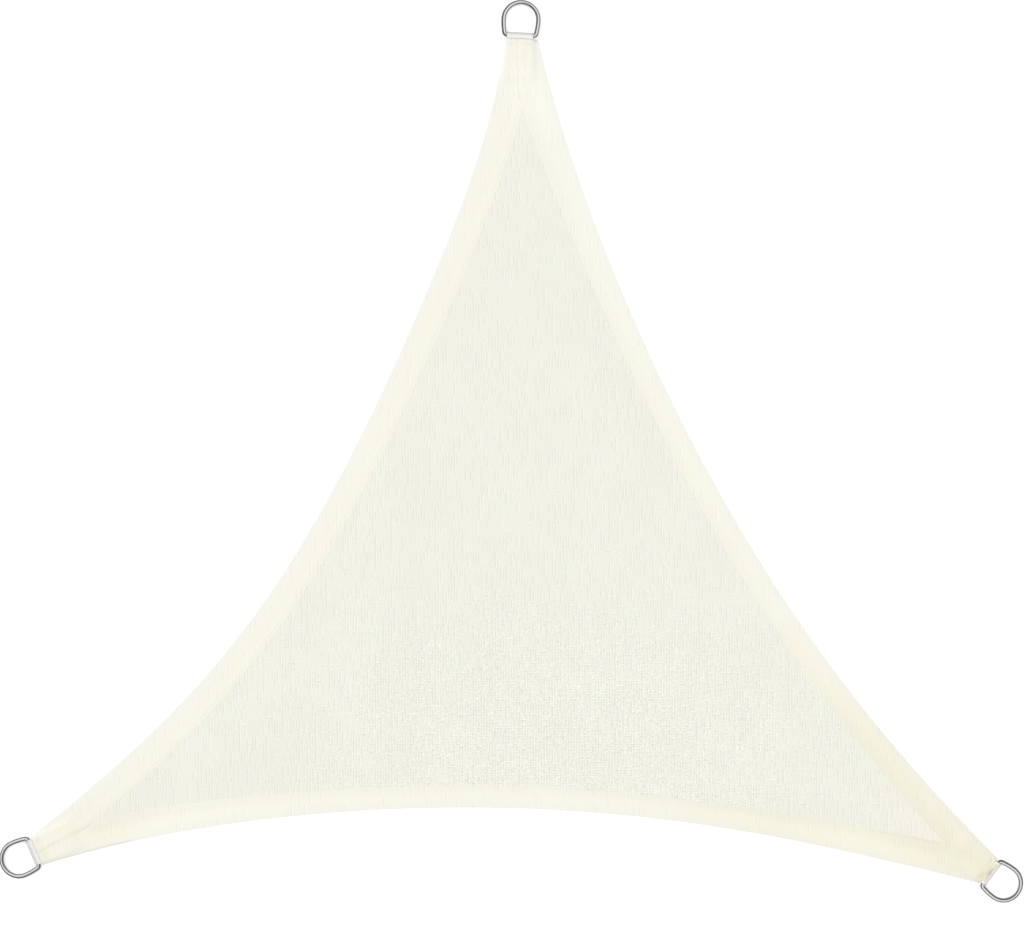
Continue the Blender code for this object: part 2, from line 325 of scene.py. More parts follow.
def inside_panel(points):
    """How far in from the hems each point of the panel lies, and 0 under the hems."""
    depth = np.full(len(points), np.inf)
    under = np.zeros(len(points), bool)
    for edge in EDGES:
        line = HEM_LINES[edge.name]
        depth = np.minimum(depth, from_line(points, line))
        away = points[:, None, :] - line[None, ::COARSE]
        near = (away**2).sum(axis=2).argmin(axis=1)
        facing = left_of(unit(line[1:] - line[:-1]))[np.minimum(near * COARSE, len(line) - 2)]
        under |= (away[np.arange(len(points)), near] * facing).sum(axis=1) < 0
    return np.where(under, 0, depth)


def lay_of_cloth(points):
    """The height of the cloth's underside over the floor at each point."""
    swells = sum(s.height * spot(points, *s[:5]) for s in SWELLS)
    noisy = smooth_noise(points, UNDULATION_SIZE, UNDULATION_SEED)
    waves = UNDULATION * (UNDULATION_SHIFT + noisy)
    return (swells + np.maximum(waves, 0)) * smooth_step(0, SWELL_RIM, inside_panel(points))


# %% [markdown]
# ## The panel
#
# The cloth is knitted in ribs that run from the bottom hem to the top corner, about 5 mm apart.
# Bump alone could draw them, but then the mesh would be smooth from the side. Here each rib is a
# real ridge: the grid has a column of points on every crest and one in every valley, and Solidify
# gives it a second face. The columns stop at the outline, just inside the fold of the hem.

# %% Sheet of ribbed cloth
SHEET = 0.0010  # one layer of the cloth
RIB_PITCH = 0.0049
RIB_HEIGHT = 0.00012
RIB_STRENGTH = 0.75  # a rib's usual share of that height, and how much more or less it may have
RIB_UNEVENNESS = 0.5
UNEVEN_SIZE = RIB_PITCH * 1.3
UNEVEN_STRETCH = (1, 0.12)  # across and along: the noise is drawn out along the ribs
UNEVEN_SEED = 1.0
RIB_WANDER = 0.00035
WANDER_SIZE = 0.02
WANDER_STRETCH = (1, 0.3)
WANDER_SEED = 5.0
ROWS = 56
HEM_GAP = 0.00015
SHEET_MIDDLE = (SHEET + RIB_HEIGHT) / 2
FOLD_RADIUS = (SHEET + HEM_GAP + RIB_HEIGHT / 2) / 2
FOLD_INSET = SHEET / 2 + FOLD_RADIUS  # the sheet goes over into the fold here
OUTLINE_SAMPLES = 500


def grid_object(name, points, flat_places):
    """A smooth-shaded grid of points (columns, rows, 3), with their flat places as a map."""
    columns, rows = points.shape[:2]
    number = np.arange(columns * rows).reshape(columns, rows)
    quads = np.stack((number[:-1, :-1], number[1:, :-1], number[1:, 1:], number[:-1, 1:]), axis=-1)
    made = new_mesh_object(name, points.reshape(-1, 3).tolist(), quads.reshape(-1, 4).tolist())
    mesh = made.data
    corners = np.zeros(len(mesh.loops), int)
    mesh.loops.foreach_get("vertex_index", corners)
    places = mesh.uv_layers.new(name="cloth")
    places.data.foreach_set("uv", flat_places.reshape(-1, 2)[corners].astype(np.float32).ravel())
    mesh.shade_smooth()
    return made


def thicken(piece, thickness, shares=None):
    """Gives a surface its thickness, which shares can lower from point to point.

    The large faces then set the shading, so that a thin rim doesn't darken the cloth beside it.
    """
    layers = piece.modifiers.new("thickness", "SOLIDIFY")
    layers.thickness = thickness
    layers.offset = 0
    if shares is not None:
        group = piece.vertex_groups.new(name="thickness")
        for point, share in enumerate(shares.ravel()):
            group.add([point], float(share), "REPLACE")
        layers.vertex_group = group.name
    piece.modifiers.new("shading", "WEIGHTED_NORMAL").weight = 100


def paint(piece, name, values):
    """Keeps one number or one colour for each point, for the materials to read."""
    kind, size = ("FLOAT", 1) if values.shape[-1] == 1 else ("FLOAT_COLOR", 4)
    layer = piece.data.attributes.new(name, kind, "POINT")
    field = "value" if size == 1 else "color"
    layer.data.foreach_set(field, values.reshape(-1, size).astype(np.float32).ravel())


def keep_tint(piece, tint):
    paint(piece, "tint", np.column_stack((tint, np.ones(len(tint)))))


def sheet_line(edge):
    t = np.linspace(0, 1, OUTLINE_SAMPLES)
    return edge_points(edge, t) + inward(edge, t) * FOLD_INSET


left_line, bottom_line, right_line = (sheet_line(edge) for edge in EDGES)
upper_line = np.concatenate((left_line[::-1], right_line[::-1]))
lower_line = np.concatenate((left_line[-1:], bottom_line, right_line[:1]))
column_count = round((upper_line[-1, 0] - upper_line[0, 0]) / (RIB_PITCH / 2)) + 1
column_x = np.linspace(upper_line[0, 0], upper_line[-1, 0], column_count)[1:-1]
column_low = np.interp(column_x, *lower_line.T)
column_high = np.interp(column_x, *upper_line.T)
row_share = np.linspace(0, 1, ROWS + 1)
sheet_y = column_low[:, None] + (column_high - column_low)[:, None] * row_share
sheet_x = np.repeat(column_x[:, None], ROWS + 1, axis=1)
flat_places = np.stack((sheet_x, sheet_y), axis=-1)
flat_list = flat_places.reshape(-1, 2)

# %% Ribs, and the finished panel
crest = np.where(np.arange(len(column_x)) % 2 == 0, 1, -1)[:, None]
not_rim = np.where((row_share == 0) | (row_share == 1), 0, 1)
uneven = smooth_noise(flat_list * UNEVEN_STRETCH, UNEVEN_SIZE, UNEVEN_SEED)
strength = RIB_STRENGTH + RIB_UNEVENNESS * uneven.reshape(sheet_x.shape)
ribs = crest * RIB_HEIGHT / 2 * strength * not_rim
sideways = smooth_noise(flat_list * WANDER_STRETCH, WANDER_SIZE, WANDER_SEED)
wander = RIB_WANDER * sideways.reshape(sheet_x.shape)
sheet_height = lay_of_cloth(flat_list).reshape(sheet_x.shape) + SHEET_MIDDLE + ribs
sheet_points = np.stack((sheet_x + wander * not_rim, sheet_y, sheet_height), axis=-1)

sail = grid_object("sail", sheet_points, flat_places)
thicken(sail, SHEET)
print(f"panel: {len(column_x)} columns, {ROWS} rows, highest swell {sheet_height.max() * 1000:.1f} mm")

# %% [markdown]
# ## The corners
#
# In each corner the cloth closes over the two tails of a webbing loop. The webbing lifts the hems
# that are folded over it, most where it lies and nothing a little way past it. So the hems need to
# know where the webbing is: how deep inside the corner a point lies, and how far to its side.

# %% Where the webbing lies, and how it lifts the cloth
CAD_CLOTH = 0.0012
WEBBING = 0.0015
WEBBING_WIDTH = 0.0465
TAIL_LENGTH = 0.060
TAIL_GAP = 0.0003  # between the two tails
PLAY = 0.00035  # between the webbing and what it touches
MOUTH = 0.0008  # the webbing leaves its pocket this far out, and then turns round the bar
LIFT = 0.00005  # the loop clears the floor by this
WIRE = 0.008
ARCH_RADIUS = 0.0313  # this and the next four give the middle line of the ring's wire
BAR_DEPTH = 0.029
BAR_HALF = 0.029
BEND_RADIUS = 0.006
ARM_BOW = 0.0006

POCKET_TOP = CAD_CLOTH + 2 * WEBBING + TAIL_GAP + 2 * PLAY
POCKET_HALF = WEBBING_WIDTH / 2 + PLAY
POCKET_SLOPE = 0.028  # how far behind the webbing the hems come down again
SIDE_SLOPE = 0.0030  # how far beside it they come down, at the mouth of the corner
SIDE_SPREAD = 0.14  # and how much further for each unit of depth
LOOP_RADIUS = WIRE / 2 + PLAY + WEBBING / 2
BAR_HEIGHT = LOOP_RADIUS + WEBBING / 2 + LIFT

FLAP_MIDDLE = SHEET_MIDDLE + 2 * FOLD_RADIUS
LIFTED = POCKET_TOP + SHEET / 2 - FLAP_MIDDLE


def bar_middle(corner):
    return np.array((corner.eye_x, corner.eye_y)) - direction(corner.ring_heading) * BAR_DEPTH


def bar_to_end(corner):
    """How far the cloth's cut end lies from the ring's bar, along the webbing."""
    outward = direction(corner.end_heading)
    clear = (bar_middle(corner) - cut_middle(corner)) @ outward
    return clear / (direction(corner.ring_heading) @ outward)


def in_corner(corner, points):
    """How deep inside a corner each point lies, and how far to the side of the webbing's middle."""
    away = points - bar_middle(corner)
    heading = direction(corner.ring_heading)
    return -away @ heading - bar_to_end(corner), away @ left_of(heading)


def webbing_lift(points):
    """How far the webbing lifts the hems that lie over it."""
    lift = np.zeros(len(points))
    for corner in CORNERS:
        depth, side = in_corner(corner, points)
        behind = 1 - smooth_step(TAIL_LENGTH, TAIL_LENGTH + POCKET_SLOPE, depth)
        slope = SIDE_SLOPE + SIDE_SPREAD * np.clip(depth, 0, TAIL_LENGTH)
        beside = 1 - smooth_step(POCKET_HALF, POCKET_HALF + slope, abs(side))
        lift += LIFTED * behind * beside
    return lift


# %% [markdown]
# ## The hems
#
# A hem is the cloth's own edge, folded onto the face and sewn down near its raw edge. It could be
# a thick strip laid on the panel, but a real fold has a round lip and two layers, and both show at
# a low angle. So each hem is a strip of sections that start underneath, go round the fold and run
# in across the top. At a corner two hems meet. The one that arrives is lapped over the one that
# leaves, and climbs onto it.
#
# The cloth ends against the webbing's loop. At the right corner it is longer and has been pulled
# part of the way over the loop, so there the hems get a few more sections, which turn up round it
# as a lip. Beside the webbing there is nothing to climb, and the lip turns hardly at all.

# %% Fold over the three hems
FLAP_SECTIONS = 420
SECTION_T = np.linspace(0, 1, FLAP_SECTIONS + 1)
FOLD_STEPS = 5
FLAP_SHARES = (
    0.03, 0.09, 0.16, 0.25, 0.34, 0.43, 0.52, 0.60, 0.68, 0.75, 0.81, 0.87, 0.92, 0.96, 1.0,
)
EDGE_THIN = 0.12  # what is left of the cloth's thickness at the pressed inner edge
PRESSED_FROM = 0.80  # the flap sinks onto the panel from this share of its width to its edge
EDGE_SINK = 2 * FOLD_RADIUS - SHEET / 2 - EDGE_THIN * SHEET / 2
EDGE_WANDER = 0.0013
EDGE_WANDER_SIZE = 0.045
EDGE_WANDER_SEED = 0.3
LAP = 0.006
LAP_START = 0.25  # the lap has its full width after this share of the way from the panel's tip
LAP_CLIMB = 0.014


def flap_inner(edge, t):
    """The flap's inner edge at each t, and how far it laps over the next hem there."""
    first, last = HEM_RANGE[edge.name]
    line = hem_line(edge, np.clip(t, first, last))
    from_start = np.clip(t / first, 0, 1)[:, None]
    from_finish = np.clip((1 - t) / (1 - last), 0, 1)[:, None]
    start, finish = BY_NAME[edge.start], BY_NAME[edge.finish]
    line = cut_middle(start) + (line - cut_middle(start)) * from_start
    line = cut_middle(finish) + (line - cut_middle(finish)) * from_finish
    lap = LAP * smooth_step(0, LAP_START, 1 - from_finish[:, 0])
    return line + lap[:, None] * left_of(direction(finish.end_heading)), lap


# %% Puffs, puckers and creases
PUFF = 0.0004  # how far the hem's two layers stand apart, most near the fold
PUFF_ENDS = 1.6  # the puff ends at one over this share of the hem's width
PUFF_ROUNDNESS = 0.7
PUCKER = 0.0004  # what the thread draws up beside the seam
PUCKER_SIZE = 0.013
PUCKER_FROM = 0.45
PUCKER_TO = 0.85
PUCKER_DRIFT = 0.02
CREASE = 0.0003
CREASE_WIDTH = 0.009
CREASE_LENGTH = 0.060
CREASED_DEPTH = 0.150
CREASE_SEED = 0.5


def puff(share):
    return PUFF * math.sin(math.pi * min(share * PUFF_ENDS, 1)) ** PUFF_ROUNDNESS


def pucker(walked, share, number):
    places = np.column_stack((walked, np.full(len(walked), share * PUCKER_DRIFT)))
    drawn_up = np.maximum(smooth_noise(places, PUCKER_SIZE, number), 0)
    return PUCKER * (drawn_up * smooth_step(PUCKER_FROM, PUCKER_TO, share))


def creases(points):
    """Long shallow creases that run out of each corner, where the cloth is gathered."""
    height = np.zeros(len(points))
    for number, corner in enumerate(CORNERS):
        depth, side = in_corner(corner, points)
        places = np.column_stack((side / CREASE_WIDTH, depth / CREASE_LENGTH))
        fade = 1 - smooth_step(CREASED_DEPTH / 2, CREASED_DEPTH, depth)
        height += CREASE * np.maximum(smooth_noise(places, 1, number + CREASE_SEED), 0) * fade
    return height


# %% Where the cloth stops against the webbing, and its lip over it
WALL_GAP = 0.0001  # the cloth's cut ends stop this near to the webbing's loop
LIP_TURN = {"top": 0.0, "left": 0.0, "right": math.radians(70)}  # how far round the loop it goes
LIP_STEPS = 6
LIP_GAP = 0.0002
LIP_HALF = 0.0225
LIP_SLOPE = 0.0040
LIP_LEAST = 0.04  # what is left of the turn beside the webbing


def wall_radius(corner, heights):
    """How far from the bar's middle the cloth's cut end stops, for points of each height."""
    bare = LOOP_RADIUS + WEBBING / 2 + WALL_GAP
    if not LIP_TURN[corner.name]:
        return np.full(len(heights), bare)
    return bare + SHEET / 2 + LIP_GAP + np.maximum(heights - POCKET_TOP - SHEET / 2, 0)


def reach_webbing(corner, section):
    """A flap's last section, moved on until it stops against the webbing that goes round the bar."""
    depth, _ = in_corner(corner, section[:, :2])
    short = depth + bar_to_end(corner) - wall_radius(corner, section[:, 2])
    section[:, :2] += np.outer(short, direction(corner.ring_heading))


def lip_steps(name):
    return LIP_STEPS if LIP_TURN[name] else 0


def lip_sections(corner, section):
    """More sections after a flap's last one, which carry it up round the webbing's loop.

    Where hems lap, the upper one starts further out. It comes closer as it climbs.
    """
    outward = direction(corner.ring_heading)
    radius = wall_radius(corner, section[:, 2])
    _, side = in_corner(corner, section[:, :2])
    beside = smooth_step(LIP_HALF - LIP_SLOPE, LIP_HALF, abs(side))
    turn = LIP_TURN[corner.name] * (1 - (1 - LIP_LEAST) * beside)
    sections = np.zeros((lip_steps(corner.name), *section.shape))
    extra = radius - radius.min()
    for step in range(len(sections)):
        share = (step + 1) / LIP_STEPS
        angle = turn * share
        close = radius - extra * share / 2
        sections[step] = section
        sections[step, :, :2] += np.outer(radius - close * np.cos(angle), outward)
        sections[step, :, 2] += close * np.sin(angle) - extra * share
    return sections


def flap_t(edge):
    """The t of each section of a flap, with the sections of its lips."""
    before, after = np.zeros(lip_steps(edge.start)), np.ones(lip_steps(edge.finish))
    return np.concatenate((before, SECTION_T, after))


# %% The flaps
def fold_rows(outline, inwards):
    """The rows that go round the fold, from underneath to the top."""
    rows = []
    for turn in np.linspace(-math.pi / 2, math.pi / 2, FOLD_STEPS + 1):
        at = outline + inwards * (FOLD_INSET - FOLD_RADIUS * math.cos(turn))
        height = np.full(len(at), SHEET_MIDDLE + FOLD_RADIUS * (1 + math.sin(turn)))
        rows.append(np.column_stack((at, height)))
    return rows


def flap_rows(lip, inner, lap, walked, number):
    """The rows from the fold's lip to the inner edge, and each one's share of the thickness."""
    rows, shares = [], []
    reach = np.linalg.norm(inner - lip, axis=1)
    for share in FLAP_SHARES:
        at = lip + (inner - lip) * share
        pressed = smooth_step(PRESSED_FROM, 1.0, share)
        climb = lap / LAP * (1 - smooth_step(lap, lap + LAP_CLIMB, reach * (1 - share)))
        soft = (pucker(walked, share, number) + creases(at)) * (1 - pressed)
        relief = soft + puff(share) - EDGE_SINK * pressed
        height = FLAP_MIDDLE + webbing_lift(at) + climb * 2 * FOLD_RADIUS + relief
        rows.append(np.column_stack((at, height)))
        shares.append(1 - (1 - EDGE_THIN) * pressed)
    return rows, shares


def flap(edge, number):
    outline, inwards = edge_points(edge, SECTION_T), inward(edge, SECTION_T)
    inner, lap = flap_inner(edge, SECTION_T)
    walked = SECTION_T * np.linalg.norm(outline[-1] - outline[0])
    along_edge = np.column_stack((walked, np.zeros(len(walked))))
    wander = EDGE_WANDER * smooth_noise(along_edge, EDGE_WANDER_SIZE, number + EDGE_WANDER_SEED)
    inner = inner + inwards * wander[:, None]
    rows = fold_rows(outline, inwards)
    shares = [1.0] * len(rows)
    top_rows, top_shares = flap_rows(outline + inwards * FOLD_INSET, inner, lap, walked, number)
    points = np.stack(rows + top_rows, axis=1)
    lips = []
    for name, section in ((edge.start, points[0]), (edge.finish, points[-1])):
        reach_webbing(BY_NAME[name], section)
        lips.append(lip_sections(BY_NAME[name], section))
    points = np.concatenate((lips[0][::-1], points, lips[1]))
    made = grid_object(f"hem_{edge.name}", points, points[..., :2])
    thicken(made, SHEET, np.broadcast_to(shares + top_shares, points.shape[:2]))
    return made


HEMS = {edge.name: flap(edge, number) for number, edge in enumerate(EDGES)}
print("hems:", ", ".join(hem.name for hem in HEMS.values()))

# %% [markdown]
# ## The thread
#
# The hems are sewn with a lock stitch, and the corners with short dense bars that take the pull of
# the ring. Thread can be drawn in the cloth's material, but a row of real stitches catches the
# light and sinks into the cloth at both ends. Each stitch is one small bent tube, and all stitches
# of a seam are one mesh. A ray from above finds the cloth under each stitch.
#
# There is a seam along each hem. Each corner has two zigzag bars with a row between them near its
# cut end, and a second row further in, which holds the ends of the webbing's tails.

# %% Stitches that sit on the cloth
STITCH_PITCH = 0.0045
STITCH_LENGTH = 0.0034
THREAD = 0.0008
# The rings of points along a stitch: place in half lengths, share of the thickness, and height.
STITCH_RINGS = (
    (-1.0, 0.55, -0.00045),
    (-0.55, 1.0, 0.00010),
    (0.55, 1.0, 0.00010),
    (1.0, 0.55, -0.00045),
)
STITCH_SIDES = 6
STITCH_FLATNESS = 0.8
SEAM_INSET = 0.005
SEAM_END = 0.996  # the t where a seam stops, just short of the webbing
RAY_START = 0.05

depsgraph = bpy.context.evaluated_depsgraph_get()
cloth_surfaces = [BVHTree.FromObject(piece, depsgraph) for piece in (sail, *HEMS.values())]


def cloth_top(point):
    """The height of the cloth's upper face at a point."""
    start = Vector((*point, RAY_START))
    hits = [surface.ray_cast(start, Vector((0, 0, -1)))[0] for surface in cloth_surfaces]
    return max((hit.z for hit in hits if hit), default=SHEET)


def walk_along(points):
    """How far each point of a line lies from the line's start."""
    steps = np.linalg.norm(np.diff(points, axis=0), axis=1)
    return np.concatenate(((0,), np.cumsum(steps)))


def stitch_run(points):
    """The two ends of each stitch along a line of points."""
    walked = walk_along(points)
    middles = np.arange(STITCH_PITCH / 2, walked[-1], STITCH_PITCH)
    ends = []
    for walk in (middles - STITCH_LENGTH / 2, middles + STITCH_LENGTH / 2):
        ends.append(np.column_stack([np.interp(walk, walked, points[:, k]) for k in (0, 1)]))
    return list(zip(*ends))


def stitch_mesh(name, stitches):
    points, faces = [], []
    for start, end in stitches:
        start_point = Vector((*start, cloth_top(start)))
        end_point = Vector((*end, cloth_top(end)))
        middle, half = (start_point + end_point) / 2, (end_point - start_point) / 2
        side = Vector((-half.y, half.x, 0)).normalized()
        first = len(points)
        for along, size, height in STITCH_RINGS:
            for k in range(STITCH_SIDES):
                angle = 2 * math.pi * k / STITCH_SIDES
                out = side * math.cos(angle) + Vector((0, 0, STITCH_FLATNESS * math.sin(angle)))
                rise = Vector((0, 0, height))
                points.append(middle + half * along + out * size * THREAD / 2 + rise)
        for ring in range(len(STITCH_RINGS) - 1):
            for k in range(STITCH_SIDES):
                low, high = first + ring * STITCH_SIDES, first + (ring + 1) * STITCH_SIDES
                after = (k + 1) % STITCH_SIDES
                faces.append((low + k, low + after, high + after, high + k))
        last = first + (len(STITCH_RINGS) - 1) * STITCH_SIDES
        faces.append([first + k for k in reversed(range(STITCH_SIDES))])
        faces.append([last + k for k in range(STITCH_SIDES)])
    made = new_mesh_object(name, points, faces)
    made.data.shade_smooth()
    return made


def seam_line(edge):
    t = np.linspace(HEM_RANGE[edge.name][0], SEAM_END, FLAP_SECTIONS)
    inner, _ = flap_inner(edge, t)
    return inner - unit(inner - edge_points(edge, t)) * SEAM_INSET


SEAMS = {edge.name: stitch_mesh(f"seam_{edge.name}", stitch_run(seam_line(edge))) for edge in EDGES}

# %% Bars and rows across the corners
BAR_DEPTH_IN = 0.0085  # how far in from the cut end a bar of dense stitches lies
BAR_SIDE = 0.0175
BAR_LENGTH = 0.011
BAR_WIDTH = 0.0034
BAR_PITCH = 0.0010
TAIL_ROW = 0.052  # the depth of the row that holds the tails' ends
TAIL_ROW_HALF = WEBBING_WIDTH / 2 - 0.002  # it stops 2 mm short of the webbing's sides
ROW_SAMPLES = 12


def corner_place(corner, depth, side):
    heading = direction(corner.ring_heading)
    return bar_middle(corner) - heading * (bar_to_end(corner) + depth) + left_of(heading) * side


def zigzag_bar(corner, depth, side):
    steps = round(BAR_LENGTH / BAR_PITCH)
    bends = []
    for k in range(steps + 1):
        across = side - BAR_LENGTH / 2 + k * BAR_PITCH
        bends.append(corner_place(corner, depth + BAR_WIDTH / 2 * (-1) ** k, across))
    return list(zip(bends, bends[1:]))


def stitch_row(corner, depth, half):
    sides = np.linspace(-half, half, ROW_SAMPLES)
    return stitch_run(np.array([corner_place(corner, depth, side) for side in sides]))


def corner_stitches(corner):
    bars = zigzag_bar(corner, BAR_DEPTH_IN, BAR_SIDE) + zigzag_bar(corner, BAR_DEPTH_IN, -BAR_SIDE)
    row = stitch_row(corner, BAR_DEPTH_IN, BAR_SIDE - BAR_LENGTH / 2)
    return stitch_mesh(f"corner_stitches_{corner.name}", bars + row)


def tail_stitches(corner):
    return stitch_mesh(f"tail_stitches_{corner.name}", stitch_row(corner, TAIL_ROW, TAIL_ROW_HALF))


CORNER_SEAMS = {corner.name: corner_stitches(corner) for corner in CORNERS}
TAIL_SEAMS = {corner.name: tail_stitches(corner) for corner in CORNERS}
left_seam = SEAMS["left"].data.vertices
print("stitches in the left seam:", len(left_seam) // (len(STITCH_RINGS) * STITCH_SIDES))

# %% [markdown]
# ## The webbing
#
# The loop is a strip of woven webbing that goes round the ring's bar and back into the corner. Its
# path is seen from the side: a flat tail, a wrap round the bar and the other tail above the first.
# The strip is drawn out of that path across its width, with a ridge for each lengthwise cord of
# the weave, and Solidify makes it 1.4 mm thick.
#
# Where the loop turns down round the far side of the bar it is greyed with painted shade. Beside
# the cloth the top and left loops have painted light, which makes them whiter against the shade at
# the mouth, and the right one is tinted yellower. All are told from how far out a point lies.

# %% Webbing loops
CORDS = 28
CORD_HEIGHT = 0.00012
LOOP_STEPS = 30
TAIL_STEPS = 12
VISUAL_WEBBING = 0.0014

# Painted shade on the far side of the bar: where it begins and where it is full, in radii of the
# loop out from the bar's middle, and how much it darkens.
FarSideShade = namedtuple("FarSideShade", "begins full amount")
FAR_SIDE_SHADE = {
    "top": FarSideShade(-0.45, 0.60, 0.31),
    "left": FarSideShade(-0.70, 0.20, 0.25),
    "right": FarSideShade(-0.60, 0.20, 0.14),
}
# How much less red, green and blue the side near the cloth has: painted light, whiter against the
# shade at the mouth, on the top and left loops, and a yellower tint on the right one.
NEAR_SIDE_TO = 0.5
NEAR_LIGHT_AND_YELLOW = {
    "top": (-0.04, -0.04, -0.04),
    "left": (-0.03, -0.03, -0.03),
    "right": (0.0, 0.0, 0.11),
}


def wrap_angle(back, height, side):
    """Where the webbing, coming from a point behind the bar, meets its wrap round the bar."""
    reach = math.hypot(back, height - BAR_HEIGHT)
    facing = math.atan2(height - BAR_HEIGHT, -back)
    return facing - side * math.acos(LOOP_RADIUS / reach)


def webbing_path(corner):
    """The middle of the webbing, seen from the side, with the bar at x = 0."""
    skew = math.radians(abs(corner.end_heading - corner.ring_heading))
    mouth = bar_to_end(corner) - math.tan(skew) * WEBBING_WIDTH / 2 - MOUTH
    tail = bar_to_end(corner) + TAIL_LENGTH
    low = CAD_CLOTH + PLAY + WEBBING / 2
    high = low + WEBBING + TAIL_GAP
    first = wrap_angle(mouth, low, -1)
    last = wrap_angle(mouth, high, 1)
    first -= 2 * math.pi * math.ceil((first - last) / (2 * math.pi))
    tails = np.linspace(-tail, -mouth, TAIL_STEPS + 1)
    wrap = np.linspace(first, last, LOOP_STEPS + 1)
    turn_x, turn_z = LOOP_RADIUS * np.cos(wrap), BAR_HEIGHT + LOOP_RADIUS * np.sin(wrap)
    x = np.concatenate((tails, turn_x, tails[::-1]))
    z = np.concatenate((np.full(len(tails), low), turn_z, np.full(len(tails), high)))
    return np.column_stack((x, z))


def ring_turn(corner):
    """The turn from the x axis to the way that a corner's ring faces."""
    return Matrix.Rotation(math.radians(corner.ring_heading), 4, "Z")


def loop_painted_shade_and_light(corner, path):
    """The tint of each point along the webbing, as red, green and blue, with its painted shade and light.
    """
    out_share = path[:, 0] / LOOP_RADIUS
    far_shade = FAR_SIDE_SHADE[corner.name]
    far = smooth_step(far_shade.begins, far_shade.full, out_share)[:, None]
    near = 1 - smooth_step(-NEAR_SIDE_TO, NEAR_SIDE_TO, out_share)[:, None]
    return 1 - far * far_shade.amount - near * np.array(NEAR_LIGHT_AND_YELLOW[corner.name])


def webbing_loop(corner):
    path = webbing_path(corner)
    along = np.gradient(path, axis=0)
    out = unit(np.column_stack((-along[:, 1], along[:, 0])))
    walked = walk_along(path)
    sides = np.linspace(-WEBBING_WIDTH / 2, WEBBING_WIDTH / 2, 2 * CORDS + 1)
    ridge = np.where(np.arange(len(sides)) % 2 == 1, 1, -1) * CORD_HEIGHT / 2
    points = np.zeros((len(path), len(sides), 3))
    points[..., 0] = path[:, None, 0] + out[:, None, 0] * ridge
    points[..., 1] = sides
    points[..., 2] = path[:, None, 1] + out[:, None, 1] * ridge
    strip = np.stack(np.broadcast_arrays(sides[None, :], walked[:, None]), axis=-1)
    made = grid_object(f"loop_{corner.name}", points, strip)
    keep_tint(made, np.repeat(loop_painted_shade_and_light(corner, path), len(sides), axis=0))
    made.data.transform(Matrix.Translation((*bar_middle(corner), 0)) @ ring_turn(corner))
    thicken(made, VISUAL_WEBBING)
    return made


LOOPS = {corner.name: webbing_loop(corner) for corner in CORNERS}
strip_length = float(walk_along(webbing_path(CORNERS[0]))[-1])
print("length of the top loop's strip:", round(strip_length, 4))

# %% [markdown]
# ## The D-rings
#
# A D-ring is bent from one steel wire: a round arch, two arms that lean in a little and a straight
# bar, which runs in the webbing. A torus would be rounder than the real thing. A curve with a
# bevel follows the true path of the wire. The ring leans: its bar is held up by the webbing, and
# its arch rests on the floor.

# %% D-rings
QUARTER_STEPS = 26
BEND_STEPS = 12
ARM_SHARES = (0.25, 0.5, 0.75)
WIRE_SIDES = 10  # the bevel's resolution, which gives a wire of 24 sides


def ring_half():
    """Half of the wire's middle line, from the top of the arch to the middle of the bar."""
    arch = [math.pi / 2 * step / QUARTER_STEPS for step in range(QUARTER_STEPS + 1)]
    path = [(ARCH_RADIUS * math.cos(angle), ARCH_RADIUS * math.sin(angle)) for angle in arch]
    bend_x = BEND_RADIUS - BAR_DEPTH
    bend_y = BAR_HALF - BEND_RADIUS
    for share in ARM_SHARES:
        bow = ARM_BOW * math.sin(math.pi * share)
        path.append((bend_x * share, ARCH_RADIUS + (BAR_HALF - ARCH_RADIUS) * share + bow))
    for step in range(BEND_STEPS + 1):
        angle = math.pi / 2 * (1 + step / BEND_STEPS)
        path.append((bend_x + BEND_RADIUS * math.cos(angle), bend_y + BEND_RADIUS * math.sin(angle)))
    return path


def d_ring(corner):
    half = ring_half()
    path = half + [(x, -y) for x, y in reversed(half[1:])]
    curve = bpy.data.curves.new(f"d_ring_{corner.name}", "CURVE")
    curve.dimensions = "3D"
    wire = curve.splines.new("POLY")
    wire.points.add(len(path) - 1)
    for point, (x, y) in zip(wire.points, path):
        point.co = (x, y, 0, 1)
    wire.use_cyclic_u = True
    curve.bevel_depth = WIRE / 2
    curve.bevel_resolution = WIRE_SIDES
    drop = math.asin((BAR_HEIGHT - WIRE / 2) / (BAR_DEPTH + ARCH_RADIUS))
    height = WIRE / 2 + ARCH_RADIUS * math.sin(drop)
    lean = Matrix.Rotation(drop, 4, "Y")
    place = Matrix.Translation((corner.eye_x, corner.eye_y, height))
    curve.transform(place @ ring_turn(corner) @ lean)
    return put_in_scene(curve.name, curve)


RINGS = {corner.name: d_ring(corner) for corner in CORNERS}
print("rings:", ", ".join(ring.name for ring in RINGS.values()))

# %% [markdown]
# ## Something dark for the rings to mirror
#
# Polished wire shows what stands round it. In an all-white studio it looks like white plastic, so
# a photographer sets up dark cards. Here each ring lies on a grey card and stands in a collar of
# nearly black card, and only mirror rays can see them. The collar's rim is high on the ring's left
# and low on its right, so that the wire is dark on one side, with a bright line of sky along its
# middle.

# %% A collar of dark card round each ring
COLLAR_RADIUS = 0.25
COLLAR_SIDES = 48
COLLAR_HIGHEST = math.radians(115)  # the side of the highest rim, from the ring's heading
RIM_MIDDLE = math.radians(56)  # how far up the rim stands, seen from the ring
RIM_SWING = math.radians(27)
BLACK_CARD = 0.12
GREY_CARD = 0.38

black_card, _ = plain_material("black_card", 1.0, BLACK_CARD)
grey_card, _ = plain_material("grey_card", 1.0, GREY_CARD)


